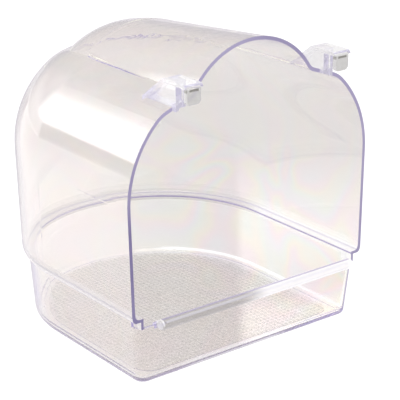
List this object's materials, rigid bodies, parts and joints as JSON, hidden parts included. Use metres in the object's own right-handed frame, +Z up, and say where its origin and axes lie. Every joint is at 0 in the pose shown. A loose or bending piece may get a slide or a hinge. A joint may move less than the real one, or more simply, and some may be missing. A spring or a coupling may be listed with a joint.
{
  "type": "cage bird bath house",
  "caption": "Clear hooded bath that hooks onto a bird cage doorway: a shallow water tray with a front perch under a lift-off lobed hood open at the front.",
  "frame": {"origin": "on the underside of the tray, at the centre of the half-round back of the plan", "axes": "+Z up, +Y from the open front towards the rounded back, +X across the opening"},
  "size_m": [0.1518, 0.1691, 0.1656],
  "materials": {
    "clear_hood": "clear, glossy, faint violet at the cut edges",
    "clear_tray": "clear, glossy, floor with a fine grip texture",
    "clear_hook": "clear, glossy"
  },
  "bodies": {
    "tray": {"tray": "clear_tray"},
    "hood": {"hood": "clear_hood", "hook_left": "clear_hook", "hook_right": "clear_hook"}
  },
  "joints": [
    {"name": "hood_lift", "type": "slide", "parent": "tray", "child": "hood", "axis": [0, 0, 1], "range_m": [0, 0.06]}
  ]
}
